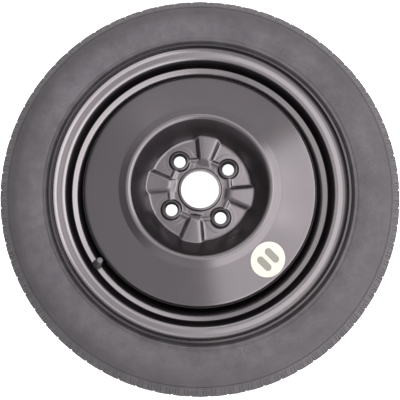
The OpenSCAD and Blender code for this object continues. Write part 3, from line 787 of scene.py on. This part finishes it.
def front_height(x, y, base):
    """Height of the disc's front, where base is the pressing without ribs, seats and collar."""
    r, q = np.hypot(x, y), nearest_hole(x, y)
    share = rib_share(x, y)
    # The blend alone would lift the level pad too, which is taken off again
    lifted = RIB_BLEND / 2 * np.exp(-np.abs(base - DISC_T)) * (1 - smooth(0, 0.6, share))
    z = soft_max(base, DISC_T + RIB_H * share, RIB_BLEND) - lifted
    z = soft_max(z, DISC_T + web_height(x, y) * (r > WEB_IN) * (r < WEB_OUT), 0.3)
    z = np.where(q < SEAT_REACH, soft_max(z, seat_height(q), 0.5), z)
    cone = DISC_T + SEAT_H + (q - SEAT_CREST_R) * math.tan(math.radians(NUT_CONE))
    z = np.where(q < SEAT_CREST_R + 3, soft_min(z, cone, 0.25), z)
    top, bend, foot = DISC_T + COLLAR_H, COLLAR_BEND, COLLAR_FILLET
    collar = np.where(r < COLLAR_R - bend, top, top - bend + arc_height(bend, r - COLLAR_R + bend))
    fillet = DISC_T + foot - arc_height(foot, np.clip(COLLAR_R + foot - r, 0, foot))
    z = np.where(r < COLLAR_R + foot, np.maximum(z, fillet), z)
    return np.where(r < COLLAR_R + 0.001, collar, z)


def inset(run):
    """How far a slope of the rib's height and this run moves inwards on the back of the sheet."""
    return DISC_T * (math.hypot(RIB_H, run) - run) / RIB_H


def back_height(x, y, base):
    """Height of the disc's back, where the ribs are hollow."""
    share = rib_share(x, y, inset(RIB_FLANK), inset(RIB_RAMP), 0.10, 0.0)
    return np.maximum(base, RIB_H * share - 0.25 * (1 - share))


def pad_front(x, y):
    return front_height(x, y, np.full_like(x, DISC_T))


def pad_back(x, y):
    return back_height(x, y, np.zeros_like(x))


def pad_points(spacing, rings, bore_rings):
    """Points of the pad: rings round the bore and the holes, and an even spread between them."""
    pts = []
    for r in bore_rings:
        pts += zip(*circle((0, 0), r, BORE_COLUMNS))
    pts += zip(*circle((0, 0), PATCH_R, DISC_COLUMNS))
    for hole in HOLES:
        for q in rings:
            pts += zip(*circle(hole, q, HOLE_COLUMNS))
    r, turned_by = bore_rings[-1] + spacing, 0.0
    while r < PATCH_R - 0.5 * spacing:
        n = int(2 * math.pi * r / spacing)
        a = even(n) + turned_by
        ring = np.stack([r * np.cos(a), r * np.sin(a)], 1)
        free = nearest_hole(ring[:, 0], ring[:, 1]) > rings[-1] + 0.6 * spacing
        pts += [tuple(q) for q in ring[free]]
        r += spacing * 0.9
        turned_by += 0.5 * 2 * math.pi / n
    return pts


def pad_patch(points, height):
    """A triangle mesh over the pad, open at the bore and the holes."""
    out = geometry.delaunay_2d_cdt([Vector(q) for q in points], [], [], 0, 1e-5)
    flat = np.array([tuple(v) for v in out[0]])
    faces = np.array([tuple(f) for f in out[2]])
    x, y = flat[faces].mean(1).T
    keep = (np.hypot(x, y) > BORE_R) & (nearest_hole(x, y) > BOLT_R)
    return np.column_stack([flat, height(flat[:, 0], flat[:, 1])]), faces[keep]


def hole_wall(centre, r, n):
    """The wall of a hole through the pad."""
    x, y = circle(centre, r, n)
    top, low = np.column_stack([x, y, pad_front(x, y)]), np.column_stack([x, y, pad_back(x, y)])
    return np.concatenate([top, low]), ring_faces(n, 0, n)


def disc_rows(line, height, step):
    """Rows of points outside the pad, close together as far as the ribs reach."""
    start = np.array([PATCH_R, np.interp(PATCH_R, line[:, 0], line[:, 1])])
    keep = [start] + [q for q in line if q[0] > PATCH_R]
    near = [q for q in spaced(keep, step, closed=False) if q[0] < RIBS_END_R]
    far = [q for q in spaced(keep, FAR_STEP, closed=False) if q[0] >= RIBS_END_R]
    r, z = np.array(near + far).T[:, :, None]
    a = even(DISC_COLUMNS)[None]
    x, y = r * np.cos(a), r * np.sin(a)
    base = z + 0 * x
    return np.stack([x, y, np.where(r < RIBS_END_R, height(x, y, base), base)], -1)


def build_disc():
    front, back = disc_lines()
    verts, faces = [], []

    def add(v, f):
        start = sum(len(q) for q in verts)
        verts.append(np.asarray(v, float))
        faces.extend([tuple(int(i) + start for i in face) for face in f])

    add(*pad_patch(pad_points(FRONT_SPACING, SEAT_RINGS, BORE_RINGS), pad_front))
    back_points = pad_points(BACK_SPACING, [BOLT_R, 9.5, 11.0], [BORE_R, 28.5])
    v, f = pad_patch(back_points, pad_back)
    add(v, f[:, ::-1])
    add(*hole_wall((0, 0), BORE_R, BORE_COLUMNS))
    for hole in HOLES:
        add(*hole_wall(hole, BOLT_R, HOLE_COLUMNS))
    outer = disc_rows(front, front_height, FRONT_STEP)
    inner = disc_rows(back, back_height, BACK_STEP)
    grid = np.concatenate([outer, inner[::-1]])
    n = DISC_COLUMNS
    between = [ring_faces(i * n, (i + 1) * n, n) for i in range(len(grid) - 1)]
    add(grid.reshape(-1, 3), np.concatenate(between)[:, ::-1])

    obj = add_mesh("disc_pressing", np.concatenate(verts) * MM, faces, DISC_PAINT)
    face_outwards(obj, merge=0.00001)
    obj.data.set_sharp_from_angle(angle=math.radians(48))
    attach(obj, "root")
    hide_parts("wheel_disc")


def build_spring():
    """The core's spring as a finer coil."""
    c, s = direction(VALVE_ANGLE)
    rise, lean = math.cos(math.radians(VALVE_TILT)), math.sin(math.radians(VALVE_TILT))
    axis = np.array([-lean * c, -lean * s, rise])
    base = np.array([VALVE_AT * c, VALVE_AT * s, VALVE_Z - WHEEL_OFFSET])
    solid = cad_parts["core_spring"]
    points = [np.array(solid.matrix_world @ v.co) / MM for v in solid.data.vertices]
    along = [float(np.dot(p - base, axis)) for p in points]
    low, high = min(along), max(along)
    side = unit(np.cross(axis, [0.0, 0.0, 1.0]))
    other = np.cross(axis, side)

    steps, sides = 32 * SPRING_TURNS, 12
    run = np.repeat(np.arange(steps + 1) / steps, sides)
    turned_by = 2 * math.pi * SPRING_TURNS * run
    round_wire = np.tile(even(sides), steps + 1)
    reach = SPRING_R + WIRE_R * np.cos(round_wire)
    height = low + WIRE_R + (high - low - 2 * WIRE_R) * run + WIRE_R * np.sin(round_wire)
    verts = base + height[:, None] * axis + (reach * np.cos(turned_by))[:, None] * side
    verts = verts + (reach * np.sin(turned_by))[:, None] * other
    faces = [tuple(f) for i in range(steps) for f in ring_faces(i * sides, (i + 1) * sides, sides)]
    faces += [tuple(range(sides))[::-1], tuple(steps * sides + k for k in range(sides))]
    obj = add_mesh("spring_coil", verts * MM, faces, SPRING, sharp=60)
    face_outwards(obj)
    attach(obj, "root")
    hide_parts("core_spring")
    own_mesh(obj)


camera()
studio()
build_rim()
build_tread()
build_casing()
build_disc()
build_spring()

FINISHES = {
    "valve_body": RUBBER, "core_seal": RUBBER, "cap_seal": RUBBER, "valve_stem": BRASS,
    "core_barrel": BRASS, "core_pin": BRASS, "core_cup": BRASS, "core_gasket": GASKET,
    "core_spring": SPRING, "valve_cap": CAP, "disc_welds": WELD, "sticker": label_print(),
    "tyre": CASING, "rim": RIM_PAINT, "wheel_disc": DISC_PAINT}
for name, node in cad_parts.items():
    node.data.materials.clear()
    node.data.materials.append(FINISHES[name])
